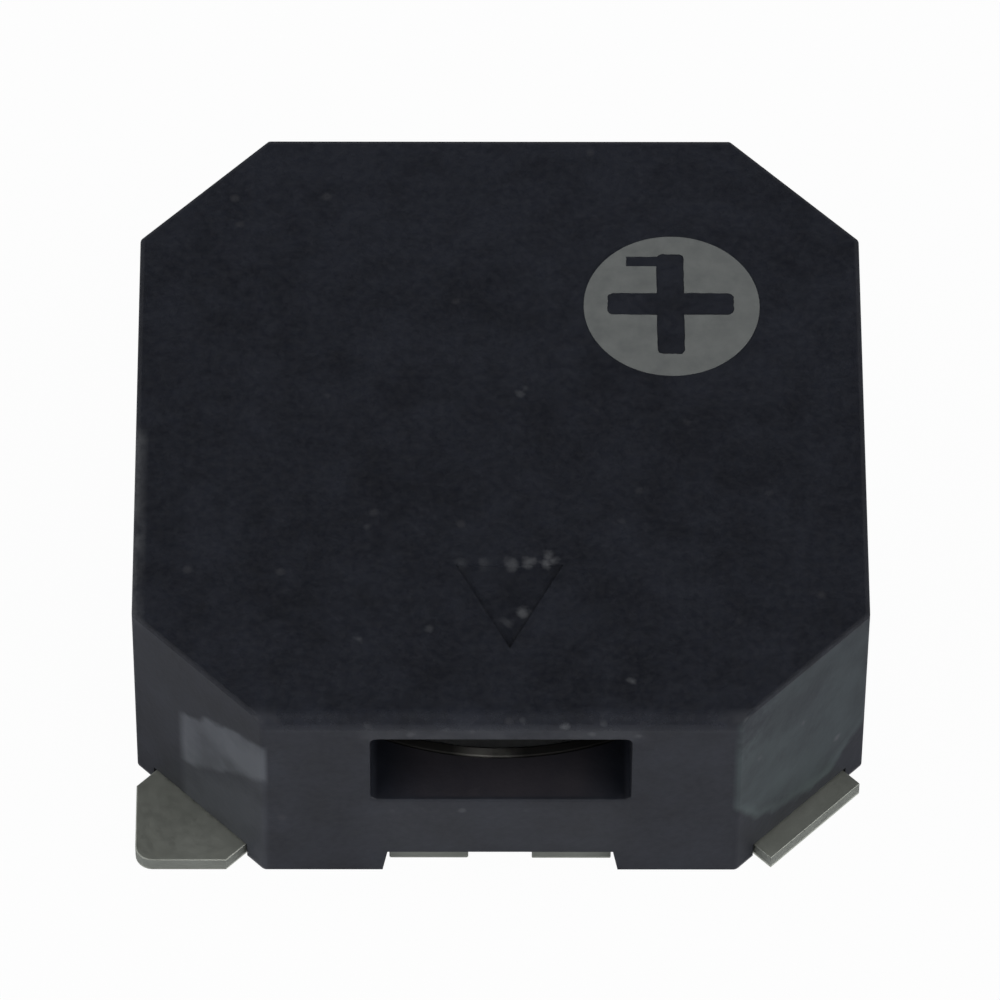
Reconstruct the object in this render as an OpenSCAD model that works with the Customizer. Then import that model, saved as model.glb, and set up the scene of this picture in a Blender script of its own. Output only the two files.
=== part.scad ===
// Surface-mount magnetic buzzer. A moulded octagonal case closes over a small magnetic circuit,
// and a thin steel diaphragm sounds through a slot in the front wall.
// Origin: middle of the seating plane under the terminals. The slot faces -Y and the top faces +Z.

/* [Case] */
// Width and depth of the square body
body_w = 8.5; // [8.4:0.05:9.5]
// Height from the seating plane to the top face
body_h = 3; // [2.95:0.05:3.6]
// Length cut off each side at the corners
corner_cut = 1.5; // [1.3:0.05:1.6]
// Flat broken along the edges of the top face
edge_break = 0.08; // [0.04:0.01:0.14]
// Thickness of the top wall
top_wall = 0.35; // [0.25:0.01:0.39]
// Thickness of the skirt around the base
skirt_wall = 0.35; // [0.25:0.01:0.42]
// Wall between the sound chamber and the sides, at its thinnest
chamber_wall = 0.59; // [0.5:0.01:0.65]
// Height of the mouldings' underside above the seating plane
seat_gap = 0.02; // [0.01:0.01:0.06]

/* [Sound slot] */
// Width of the slot
slot_w = 3; // [2:0.1:3.4]
// Height of the slot
slot_h = 1.18; // [0.8:0.02:1.2]
// Radius of the slot's corners
slot_r = 0.08; // [0.04:0.01:0.2]
// Height of the slot's sill above the diaphragm
sill_lift = 0.015; // [0.01:0.005:0.03]

/* [Lower notches] */
// Gap between a lead's cut end and the end of the notch
notch_gap = 0.02; // [0.01:0.01:0.05]
// Height of the notch above the seating plane
notch_h = 0.37; // [0.3:0.01:0.42]
// How much each end of the notch slopes outwards
notch_flare = 0.06; // [0:0.01:0.12]

/* [Base] */
// Thickness of the base above the leads
base_floor = 0.25; // [0.2:0.01:0.3]
// Gap between the base and the skirt, filled by a film of glue
glue_gap = 0.02; // [0.01:0.01:0.04]

/* [Leads] */
// Thickness of the lead sheet
lead_t = 0.2; // [0.15:0.01:0.22]
// Width of a foot, along the corner cut
foot_w = 1.5; // [1.2:0.05:1.6]
// How far a straight foot stands out of the corner cut
foot_reach = 0.26; // [0.15:0.01:0.4]
// Radius at the point of a corner foot
foot_r = 0.2; // [0.1:0.01:0.3]
// Depth of the foot's full width inside the base
foot_anchor = 0.3; // [0.2:0.05:0.4]
// Gap between a foot and the opening in the skirt
foot_gap = 0.03; // [0.02:0.01:0.05]
// Width of the arm that runs inwards
arm_w = 1.1; // [1:0.05:1.3]
// Length of a dummy lead's arm
dummy_arm = 1; // [0.6:0.05:1.2]
// How far a live lead's arm runs past its window
arm_past = 0.1; // [0.05:0.01:0.2]
// Width of the bar that ties a lead to its cut end
bar_w = 0.55; // [0.4:0.05:0.7]
// Distance of the bar's outer edge from the base's edge
bar_inset = 0.6; // [0.4:0.05:0.7]
// Width of a cut end
stub_w = 0.92; // [0.7:0.01:1]
// Space between a pair of cut ends
stub_space = 0.74; // [0.6:0.02:0.9]
// How far a cut end stands out of the base
stub_reach = 0.2; // [0.1:0.01:0.22]

/* [Magnetic circuit] */
// Thickness of the yoke plate
yoke_t = 0.25; // [0.2:0.01:0.3]
// Gap between the yoke plate and the support ring
yoke_gap = 0.02; // [0.01:0.01:0.04]
// Diameter of the core
core_d = 1.3; // [1.1:0.05:1.5]
// Height of the core above the yoke plate
core_h = 0.56; // [0.54:0.01:0.62]
// Diameter of the rivet end of the core
rivet_d = 0.9; // [0.7:0.05:1]
// Gap between the winding and the magnet
coil_space = 0.55; // [0.45:0.01:0.7]
// Height of the winding
coil_h = 0.48; // [0.4:0.01:0.5]
// Gap between the winding and the core
coil_gap = 0.03; // [0.02:0.01:0.05]
// Diameter of the coil's wire ends
wire_d = 0.08; // [0.05:0.01:0.1]
// Distance of the magnet's rim from the yoke plate's edge
magnet_inset = 0.1; // [0.05:0.01:0.3]
// Part of the winding room, round the core and less the gap, that the magnet fills
magnet_share = 0.51; // [0.4:0.01:0.58]
// Height of the magnet
magnet_h = 0.46; // [0.4:0.01:0.5]

/* [Coil end joints] */
// Space inside the magnet's bore that the wire drops through
wire_space = 0.2; // [0.16:0.01:0.25]
// Length of the window towards the corner
window_l = 1; // [0.9:0.05:1.1]
// Width of the window
window_w = 0.8; // [0.7:0.02:0.9]
// Distance of the solder's middle from the window's outer end
solder_inset = 0.45; // [0.4:0.01:0.5]
// Width of the solder at its foot
solder_d = 0.56; // [0.5:0.02:0.6]
// Height of the solder
solder_h = 0.2; // [0.18:0.01:0.22]

/* [Diaphragm] */
// Thickness of the diaphragm
diaphragm_t = 0.04; // [0.03:0.01:0.06]
// Gap between the core and the diaphragm
air_gap = 0.1; // [0.08:0.01:0.14]
// Gap between the diaphragm's rim and the ring's lip
rim_gap = 0.02; // [0.01:0.01:0.04]
// Wall of the support ring
ring_wall = 0.32; // [0.28:0.01:0.36]
// Wall of the ring's lip, outside the diaphragm
lip_wall = 0.12; // [0.08:0.01:0.16]
// Height of the lip above the diaphragm
lip_h = 0.03; // [0.02:0.01:0.05]
// Gap between the ring and the sound chamber's wall
ring_gap = 0.02; // [0.01:0.01:0.04]
// Diameter of the armature disc
armature_d = 2.8; // [2.2:0.1:3.4]
// Thickness of the armature disc
armature_t = 0.2; // [0.15:0.01:0.3]
// Bevel on the armature disc's edge
armature_bevel = 0.04; // [0.02:0.01:0.06]

/* [Hidden] */

$fn = 96;
over = 0.2; // how far a cutting shape runs past what it cuts
wire_fn = 24;
half_w = body_w / 2;
corner_r = (body_w - corner_cut) / sqrt(2); // from the axis to a corner cut
side_angles = [0, 90, 180, 270];
corner_angles = [45, 135, 225, 315];
live_angles = [45, 225]; // corners of the plus and minus terminals

// Levels, from the seating plane up
base_top = lead_t + base_floor;
yoke_top = base_top + yoke_t;
core_top = yoke_top + core_h;
diaphragm_z = core_top + air_gap;
diaphragm_top = diaphragm_z + diaphragm_t;
sill_z = diaphragm_top + sill_lift;
ceiling_z = body_h - top_wall;

// Outlines that fit into one another
pocket_w = body_w - 2 * skirt_wall;
pocket_cut = corner_cut - skirt_wall * (2 - sqrt(2));
base_w = pocket_w - 2 * glue_gap;
base_cut = pocket_cut - glue_gap * (2 - sqrt(2));
base_corner_r = (base_w - base_cut) / sqrt(2);
chamber_r = half_w - chamber_wall;
ring_r = chamber_r - ring_gap;
ring_bore_r = ring_r - ring_wall;
yoke_r = ring_bore_r - yoke_gap;
diaphragm_r = ring_r - lip_wall - rim_gap;
magnet_r = yoke_r - magnet_inset;
coil_bore_r = core_d / 2 + coil_gap;
winding_room = magnet_r - coil_bore_r - coil_space;
magnet_bore_r = magnet_r - winding_room * magnet_share;
coil_r = magnet_bore_r - coil_space;

// The coil's ends drop through the middle of the space between the window's inner end and the magnet
window_r = magnet_bore_r - wire_space;
lead_drop_r = magnet_bore_r - wire_space / 2;
lead_lift = wire_d; // of the wire's centre line, above the yoke plate and above the solder's foot
solder_r = window_r + window_l - solder_inset;

// Square with its four corners cut off at 45 degrees
module octagon(w, cut) {
    h = w / 2;
    k = h - cut;
    polygon([[h, k], [k, h], [-k, h], [-h, k], [-h, -k], [-k, -h], [k, -h], [h, -k]]);
}

// Rectangle that stands on the X axis, with rounded corners
module rounded_rect(w, h, r) {
    translate([r - w / 2, 0]) square([w - 2 * r, h]);
    translate([-w / 2, r]) square([w, h - 2 * r]);
    for (x = [r - w / 2, w / 2 - r], y = [r, h - r])
        translate([x, y]) circle(r);
}

// Plate between two levels
module slab(z0, z1) {
    translate([0, 0, z0]) linear_extrude(z1 - z0) children();
}

// Strip along +X from one radius to another
module strip(r0, r1, w) {
    translate([r0, -w / 2]) square([r1 - r0, w]);
}

// Wedge that breaks one top edge, at a given distance from the axis
module edge_cutter(d) {
    size = body_w;
    translate([d, 0, body_h]) rotate([0, 45, 0])
        translate([-size / 2, -size / 2, -edge_break / sqrt(2)]) cube(size);
}

module edge_breaks() {
    for (a = side_angles) rotate(a) edge_cutter(half_w);
    for (a = corner_angles) rotate(a) edge_cutter(corner_r);
}

// Notch through the front wall, under which the cut ends of the leads stand
module notch() {
    top = stub_space / 2 + stub_w + notch_gap;
    foot = top + notch_flare;
    rotate([90, 0, 0]) translate([0, 0, pocket_w / 2 - over])
        linear_extrude(skirt_wall + 2 * over)
            polygon([[-foot, 0], [foot, 0], [top, notch_h], [-top, notch_h]]);
}

// Square outline of the body with small rounded corners, which limits the corner feet
module foot_limit() {
    translate([0, -half_w]) rounded_rect(body_w, body_w, foot_r);
}

// Outline of a lead in the +X +Y quarter. A live lead has a corner foot and a long arm.
module lead_outline(live) {
    foot_in = base_corner_r - foot_anchor;
    arm_in = live ? window_r - arm_past : foot_in - dummy_arm;
    foot_out = live ? body_w : corner_r + foot_reach;
    bar_out = base_w / 2 - bar_inset;
    intersection() {
        rotate(45) strip(foot_in, foot_out, foot_w);
        foot_limit();
    }
    rotate(45) strip(arm_in, foot_in + over, arm_w);
    translate([stub_space / 2, bar_out - bar_w]) square([bar_out - bar_w / 2 - stub_space / 2, bar_w]);
    translate([stub_space / 2, bar_out - bar_w]) square([stub_w, base_w / 2 + stub_reach - bar_out + bar_w]);
}

// Turns the first quarter's lead into its own corner
module to_front_left() {
    rotate(180) children();
}

module to_front_right() {
    mirror([0, 1, 0]) children();
}

module to_back_left() {
    mirror([1, 0, 0]) children();
}

module all_leads() {
    lead_outline(true);
    to_front_left() lead_outline(true);
    to_front_right() lead_outline(false);
    to_back_left() lead_outline(false);
}

module case() {
    color([0.03, 0.03, 0.04]) difference() {
        slab(seat_gap, body_h) octagon(body_w, corner_cut);
        edge_breaks();
        slab(seat_gap - over, base_top) octagon(pocket_w, pocket_cut);
        slab(base_top - over, ceiling_z) circle(chamber_r);
        translate([0, 0, sill_z]) rotate([90, 0, 0])
            linear_extrude(body_w) rounded_rect(slot_w, slot_h, slot_r);
        notch();
        rotate(180) notch();
        for (a = corner_angles) rotate(a)
            slab(seat_gap - over, lead_t + foot_gap)
                strip(base_corner_r - over, corner_r + over, foot_w + 2 * foot_gap);
    }
}

module base() {
    color([0.05, 0.05, 0.055]) difference() {
        slab(seat_gap, base_top) octagon(base_w, base_cut);
        slab(seat_gap - over, lead_t) all_leads();
        for (a = live_angles) rotate(a)
            slab(lead_t, base_top + over) strip(window_r, window_r + window_l, window_w);
    }
}

module terminal_plus() {
    color([0.62, 0.63, 0.6]) slab(0, lead_t) lead_outline(true);
}

module terminal_minus() {
    color([0.62, 0.63, 0.6]) slab(0, lead_t) to_front_left() lead_outline(true);
}

module dummy_terminal_front() {
    color([0.62, 0.63, 0.6]) slab(0, lead_t) to_front_right() lead_outline(false);
}

module dummy_terminal_back() {
    color([0.62, 0.63, 0.6]) slab(0, lead_t) to_back_left() lead_outline(false);
}

module yoke_plate() {
    color([0.55, 0.56, 0.58]) difference() {
        slab(base_top, yoke_top) circle(yoke_r);
        slab(base_top - over, yoke_top + over) circle(d = rivet_d);
        for (a = live_angles) rotate(a)
            slab(base_top - over, yoke_top + over) strip(window_r, yoke_r + over, window_w);
    }
}

module pole_core() {
    color([0.6, 0.6, 0.62]) {
        slab(yoke_top, core_top) circle(d = core_d);
        slab(base_top, yoke_top) circle(d = rivet_d);
    }
}

// One end of the coil: out over the yoke plate, down through the window and along to the solder
module coil_end() {
    out_z = yoke_top + lead_lift;
    low_z = lead_t + lead_lift;
    translate([coil_r - wire_d, 0, out_z]) rotate([0, 90, 0])
        cylinder(d = wire_d, h = lead_drop_r - coil_r + wire_d, $fn = wire_fn);
    translate([lead_drop_r, 0, low_z]) cylinder(d = wire_d, h = out_z - low_z, $fn = wire_fn);
    translate([lead_drop_r, 0, low_z]) rotate([0, 90, 0])
        cylinder(d = wire_d, h = solder_r - lead_drop_r, $fn = wire_fn);
    for (z = [low_z, out_z]) translate([lead_drop_r, 0, z]) sphere(d = wire_d, $fn = wire_fn);
}

module coil() {
    color([0.72, 0.38, 0.2]) {
        difference() {
            slab(yoke_top, yoke_top + coil_h) circle(coil_r);
            slab(yoke_top - over, yoke_top + coil_h + over) circle(coil_bore_r);
        }
        for (a = live_angles) rotate(a) coil_end();
    }
}

module ring_magnet() {
    color([0.2, 0.2, 0.21]) difference() {
        slab(yoke_top, yoke_top + magnet_h) circle(magnet_r);
        slab(yoke_top - over, yoke_top + magnet_h + over) circle(magnet_bore_r);
    }
}

// Ring with a seat under the diaphragm's rim and a low lip outside it
module support_ring() {
    seat_r = diaphragm_r + rim_gap;
    lip_top = diaphragm_top + lip_h;
    color([0.75, 0.74, 0.7]) rotate_extrude()
        polygon([[ring_bore_r, base_top], [ring_r, base_top], [ring_r, lip_top],
            [seat_r, lip_top], [seat_r, diaphragm_z], [ring_bore_r, diaphragm_z]]);
}

module diaphragm() {
    color([0.7, 0.71, 0.73]) slab(diaphragm_z, diaphragm_top) circle(diaphragm_r);
}

module armature_disc() {
    r = armature_d / 2;
    z0 = diaphragm_top;
    z1 = diaphragm_top + armature_t;
    color([0.6, 0.6, 0.62]) rotate_extrude()
        polygon([[0, z0], [r, z0], [r, z1 - armature_bevel], [r - armature_bevel, z1], [0, z1]]);
}

// Cap of solder on a live terminal, round the coil's end
module solder_joint() {
    foot_r2 = pow(solder_d / 2, 2);
    ball_r = (foot_r2 + pow(solder_h, 2)) / (2 * solder_h);
    difference() {
        intersection() {
            translate([solder_r, 0, lead_t + solder_h - ball_r]) sphere(ball_r);
            slab(lead_t, lead_t + solder_h + over) strip(solder_r - solder_d, solder_r + solder_d, 2 * solder_d);
        }
        coil_end();
    }
}

module solder_plus() {
    color([0.7, 0.71, 0.72]) rotate(live_angles[0]) solder_joint();
}

module solder_minus() {
    color([0.7, 0.71, 0.72]) rotate(live_angles[1]) solder_joint();
}

case();
base();
terminal_plus();
terminal_minus();
dummy_terminal_front();
dummy_terminal_back();
yoke_plate();
pole_core();
coil();
ring_magnet();
support_ring();
diaphragm();
armature_disc();
solder_plus();
solder_minus();
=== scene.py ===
import bpy
import bmesh
import math
from mathutils import Matrix, Vector


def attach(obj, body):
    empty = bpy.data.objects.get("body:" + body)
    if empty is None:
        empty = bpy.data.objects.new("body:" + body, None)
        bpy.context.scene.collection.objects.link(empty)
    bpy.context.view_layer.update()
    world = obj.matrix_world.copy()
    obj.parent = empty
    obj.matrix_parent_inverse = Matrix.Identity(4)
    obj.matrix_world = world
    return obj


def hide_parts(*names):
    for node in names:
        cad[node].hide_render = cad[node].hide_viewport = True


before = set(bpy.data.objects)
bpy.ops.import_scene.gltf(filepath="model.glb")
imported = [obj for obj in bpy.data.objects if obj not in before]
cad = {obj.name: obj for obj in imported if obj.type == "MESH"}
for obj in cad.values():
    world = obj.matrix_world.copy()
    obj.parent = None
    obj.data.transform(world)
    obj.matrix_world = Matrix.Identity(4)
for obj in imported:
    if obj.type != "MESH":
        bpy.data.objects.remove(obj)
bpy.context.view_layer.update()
scene = bpy.context.scene
scene.view_settings.view_transform = "Standard"
print("frame loaded:", len(cad), "nodes")


# modelling helpers: pieces are made at 1 unit = 1 mm and brought to metres at the end

weld = 0.0005  # points closer than this become one


def letGo():
    if bpy.context.object and bpy.context.object.mode != "OBJECT":
        bpy.ops.object.mode_set(mode="OBJECT")
    bpy.ops.object.select_all(action="DESELECT")


def take(piece):  # the only selected object, and the active one
    letGo()
    piece.select_set(True)
    bpy.context.view_layer.objects.active = piece


def openMesh(piece):
    take(piece)
    bpy.ops.object.mode_set(mode="EDIT")
    bpy.ops.mesh.select_all(action="DESELECT")


def pickEdges(piece, test):  # edges by the places of their two ends
    bpy.ops.mesh.select_mode(type="EDGE")
    bpy.ops.mesh.select_all(action="DESELECT")
    mesh = bmesh.from_edit_mesh(piece.data)
    for edge in mesh.edges:
        if test(edge.verts[0].co, edge.verts[1].co):
            edge.select_set(True)
    mesh.select_flush_mode()
    bmesh.update_edit_mesh(piece.data)


def pickFaces(piece, test):  # faces by their middle and their normal
    bpy.ops.mesh.select_mode(type="FACE")
    bpy.ops.mesh.select_all(action="DESELECT")
    mesh = bmesh.from_edit_mesh(piece.data)
    mesh.normal_update()
    for face in mesh.faces:
        if test(face.calc_center_median(), face.normal):
            face.select_set(True)
    mesh.select_flush_mode()
    bmesh.update_edit_mesh(piece.data)


def block(name, low, high, turn=0.0):  # box between two corners, turned about the upright axis
    letGo()
    middle = [(a + b) / 2 for a, b in zip(low, high)]
    place = Matrix.Rotation(turn, 3, "Z") @ Vector(middle)
    bpy.ops.mesh.primitive_cube_add(size=1, location=place, rotation=(0, 0, turn))
    piece = bpy.context.object
    piece.scale = [b - a for a, b in zip(low, high)]
    piece.name = name
    bpy.ops.object.transform_apply(location=True, rotation=True, scale=True)
    return piece


def rod(name, radius, low, high, spot=(0, 0), sides=128):
    letGo()
    bpy.ops.mesh.primitive_cylinder_add(vertices=sides, radius=radius, depth=high - low,
                                        location=(spot[0], spot[1], (low + high) / 2))
    piece = bpy.context.object
    piece.name = name
    bpy.ops.object.transform_apply(location=True, rotation=True, scale=True)
    return piece


def octagon(name, width, cut, low, high):
    piece = block(name, (-width / 2, -width / 2, low), (width / 2, width / 2, high))
    openMesh(piece)
    pickEdges(piece, lambda a, b: abs(a.z - b.z) > (high - low) / 2)  # the four upright edges
    bpy.ops.mesh.bevel(offset=cut, offset_type="OFFSET", segments=1, affect="EDGES")
    letGo()
    return piece


def combine(piece, other, how="DIFFERENCE"):
    take(piece)
    step = piece.modifiers.new("combine", "BOOLEAN")
    step.operation = how
    step.solver = "EXACT"
    step.object = other
    bpy.ops.object.modifier_apply(modifier=step.name)
    bpy.data.objects.remove(other)
    return piece


def lathe(name, path, sides=96):  # a closed ring, from the radius and height of its section's corners
    letGo()
    radius, level = path[0]
    bpy.ops.mesh.primitive_circle_add(vertices=sides, radius=radius, location=(0, 0, level))
    piece = bpy.context.object
    piece.name = name
    bpy.ops.object.transform_apply(location=True, rotation=True, scale=True)
    openMesh(piece)
    bpy.ops.mesh.select_all(action="SELECT")
    for nextRadius, nextLevel in (*path[1:], path[0]):
        bpy.ops.mesh.extrude_edges_move(TRANSFORM_OT_translate={"value": (0, 0, nextLevel - level)})
        grow = nextRadius / radius
        bpy.ops.transform.resize(value=(grow, grow, 1), center_override=(0, 0, nextLevel))
        radius, level = nextRadius, nextLevel
    bpy.ops.mesh.select_all(action="SELECT")
    bpy.ops.mesh.remove_doubles(threshold=weld)
    bpy.ops.mesh.normals_make_consistent(inside=False)
    letGo()
    return piece


def twin(piece, name):  # a copy with its own mesh
    take(piece)
    bpy.ops.object.duplicate()
    copy = bpy.context.object
    copy.name = name
    copy.data.name = name
    return copy


def softenEdges(piece, width, segments, angle=50):
    take(piece)
    step = piece.modifiers.new("soften", "BEVEL")
    step.width = width
    step.segments = segments
    step.limit_method = "ANGLE"
    step.angle_limit = math.radians(angle)
    step.use_clamp_overlap = True
    bpy.ops.object.modifier_apply(modifier=step.name)


def tidyFaces(piece):
    openMesh(piece)
    bpy.ops.mesh.select_all(action="SELECT")
    bpy.ops.mesh.remove_doubles(threshold=weld)
    bpy.ops.mesh.dissolve_limited(angle_limit=math.radians(0.5))
    letGo()


def smooth(piece, angle):  # shading: edges sharper than the angle stay sharp
    take(piece)
    bpy.ops.object.shade_smooth_by_angle(angle=math.radians(angle))
    step = piece.modifiers.new("even", "WEIGHTED_NORMAL")  # keeps wide faces flat beside rounded edges
    step.keep_sharp = True
    bpy.ops.object.modifier_apply(modifier=step.name)


def settle(piece, finish, stands=()):  # to metres, dressed, and onto its body
    take(piece)
    piece.scale = (0.001, 0.001, 0.001)
    bpy.ops.object.transform_apply(location=True, rotation=True, scale=True)
    piece.data.materials.clear()
    piece.data.materials.append(finish)
    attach(piece, "root")
    if stands:
        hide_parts(*stands)
    letGo()
    return piece


# finishes: places and scales in mm too

def startFinish(name, color, rough, metal=0.0):
    finish = bpy.data.materials.new(name)
    finish.use_nodes = True
    tree = finish.node_tree
    shader = tree.nodes["Principled BSDF"]
    shader.inputs["Base Color"].default_value = (*color, 1)
    shader.inputs["Roughness"].default_value = rough
    shader.inputs["Metallic"].default_value = metal
    shader.inputs["IOR"].default_value = 1.5
    place = tree.nodes.new("ShaderNodeTexCoord")
    toMm = tree.nodes.new("ShaderNodeMapping")
    toMm.inputs["Scale"].default_value = (1000, 1000, 1000)
    tree.links.new(place.outputs["Object"], toMm.inputs["Vector"])
    return finish, tree, shader, toMm.outputs["Vector"]


def grain(tree, place, scale, detail=3.0, rough=0.55):
    noise = tree.nodes.new("ShaderNodeTexNoise")
    noise.inputs["Scale"].default_value = scale
    noise.inputs["Detail"].default_value = detail
    noise.inputs["Roughness"].default_value = rough
    tree.links.new(place, noise.inputs["Vector"])
    return noise.outputs["Fac"]


def math1(tree, how, a, b):
    node = tree.nodes.new("ShaderNodeMath")
    node.operation = how
    for socket, value in zip(node.inputs, (a, b)):
        if isinstance(value, (int, float)):
            socket.default_value = value
        else:
            tree.links.new(value, socket)
    return node.outputs["Value"]


def spread(tree, value, lowIn, highIn, lowOut, highOut):
    node = tree.nodes.new("ShaderNodeMapRange")
    ends = {"From Min": lowIn, "From Max": highIn, "To Min": lowOut, "To Max": highOut}
    for key, number in ends.items():
        node.inputs[key].default_value = number
    tree.links.new(value, node.inputs["Value"])
    return node.outputs["Result"]


def tint(tree, share, colorA, colorB):  # colour from A to B by share; either may be a socket
    node = tree.nodes.new("ShaderNodeMix")
    node.data_type = "RGBA"
    tree.links.new(share, node.inputs["Factor"])
    for key, color in ((6, colorA), (7, colorB)):  # the node's colour sockets
        if isinstance(color, tuple):
            node.inputs[key].default_value = (*color, 1)
        else:
            tree.links.new(color, node.inputs[key])
    return node.outputs[2]


def relief(tree, shader, height, depth):
    node = tree.nodes.new("ShaderNodeBump")
    node.inputs["Strength"].default_value = 1.0
    node.inputs["Distance"].default_value = depth
    tree.links.new(height, node.inputs["Height"])
    tree.links.new(node.outputs["Normal"], shader.inputs["Normal"])


def axesOf(tree, place):
    node = tree.nodes.new("ShaderNodeSeparateXYZ")
    tree.links.new(place, node.inputs["Vector"])
    return node.outputs["X"], node.outputs["Y"], node.outputs["Z"]


def times(tree, first, *others):
    for other in others:
        first = math1(tree, "MULTIPLY", first, other)
    return first


def within(tree, value, low, high, soft):  # 1 between two limits, with soft ends
    rise = spread(tree, value, low - soft, low + soft, 0, 1)
    fall = spread(tree, value, high - soft, high + soft, 1, 0)
    return times(tree, rise, fall)


def specks(tree, place, scale, size, share):  # scattered dots: 1 inside a dot, 0 outside
    cells = tree.nodes.new("ShaderNodeTexVoronoi")
    cells.inputs["Scale"].default_value = scale
    tree.links.new(place, cells.inputs["Vector"])
    dot = spread(tree, cells.outputs["Distance"], size, size * 0.45, 0, 1)
    pick = tree.nodes.new("ShaderNodeSeparateColor")
    tree.links.new(cells.outputs["Color"], pick.inputs["Color"])
    chosen = math1(tree, "LESS_THAN", pick.outputs["Red"], share)
    return math1(tree, "MULTIPLY", dot, chosen)


dotLook = {"grain": 7, "uneven": 0.4, "core": 0.2}  # grain per mm, the others as shares of the radius


def dotsAt(tree, place, spots, radius):  # soft dots of uneven outline, each with its own strength
    dots = 0.0
    reach = dotLook["uneven"] * radius
    uneven = spread(tree, grain(tree, place, dotLook["grain"], 2), 0.3, 0.7, -reach, reach)
    for x, y, z, strength in spots:
        node = tree.nodes.new("ShaderNodeVectorMath")
        node.operation = "DISTANCE"
        tree.links.new(place, node.inputs[0])
        node.inputs[1].default_value = (x, y, z)
        away = math1(tree, "ADD", node.outputs["Value"], uneven)
        dots = math1(tree, "MAXIMUM", dots, spread(tree, away, radius, radius * dotLook["core"], 0, strength))
    return dots


plastic = {
    "dark": (0.0062, 0.0073, 0.0118), "light": (0.0136, 0.0157, 0.0232), "dust": (0.055, 0.055, 0.06),
    "rough": (0.40, 0.54), "gloss": 0.5, "relief": 0.0000035,
    "patch": (1.5, 6, 0.72), "fine": (11, 2.5, 0.6),  # scale, detail and roughness of each grain
    "backFrom": -1, "backTo": 4, "backSheenShare": 0.25,  # painted sheen: paler towards the back
    "speck": (1.9, 0.14, 0.22), "speckShare": 0.3,  # scale, size, how many, how strong
}


def mouldedPlastic(name, values):  # also hands back what a further layer needs
    finish, tree, shader, place = startFinish(name, values["dark"], 0.5)
    patches = spread(tree, grain(tree, place, *values["patch"]), 0.36, 0.66, 0, 1)
    y = axesOf(tree, place)[1]
    # painted sheen: the colour turns paler towards the back
    paintedBackSheen = spread(tree, y, values["backFrom"], values["backTo"], 0, values["backSheenShare"])
    color = tint(tree, math1(tree, "ADD", patches, paintedBackSheen), values["dark"], values["light"])
    dots = times(tree, specks(tree, place, *values["speck"]), values["speckShare"])
    color = tint(tree, dots, color, values["dust"])
    fine = grain(tree, place, *values["fine"])
    rough = spread(tree, fine, 0.3, 0.7, *values["rough"])
    tree.links.new(color, shader.inputs["Base Color"])
    tree.links.new(rough, shader.inputs["Roughness"])
    shader.inputs["Specular IOR Level"].default_value = values["gloss"]
    relief(tree, shader, fine, values["relief"])
    return finish, tree, shader, place, color, rough, fine


cutLook = {
    "matt": 0.54, "satin": 0.34, "start": 2.75, "long": 1.5, "ragged": 0.3, "edge": 0.05,
    "cut": (6.95, 9, 0.03), "topFade": (2.92, 2.95),  # x + y of a cut, and its end below the rim
    "wave": (1.6, 3, 0.5), "stain": (1.5, 3, 0.5), "mottle": 0.5,  # two grains, and the least share of the painted reflection's uneven strength
    # painted reflection of the floor: the lighter colour and outline of the field on each corner cut
    "leftReflection": (0.074, 0.081, 0.094), "leftFrom": (0.34, 0.4), "leftTop": 1.42, "leftRise": 1.12,
    "leftDeep": (1.0, -0.2), "leftUnder": 0.3,  # how deep at each end, and what is left below
    "rightReflection": (0.039, 0.055, 0.057), "rightShare": 0.64, "rightLow": 0.43, "rightBow": 2.4,
    "rightMiddle": 0.44, "rightRim": (0.02, 0.14, 0.06), "rimShare": 0.35,  # painted reflection: lighter along its lower edge
    # painted shade: darker spots on the right cut's field, each x, y, z and strength
    "rightPaintedShade": ((3.55, -3.45, 2.05, 0.3), (2.85, -4.15, 2.8, 0.75)), "paintedShadeRadius": 0.6,
    "rightEnds": (0.75, 1.25), "middle": (-0.5, 0.5),  # middle: where left turns to right
}


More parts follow.
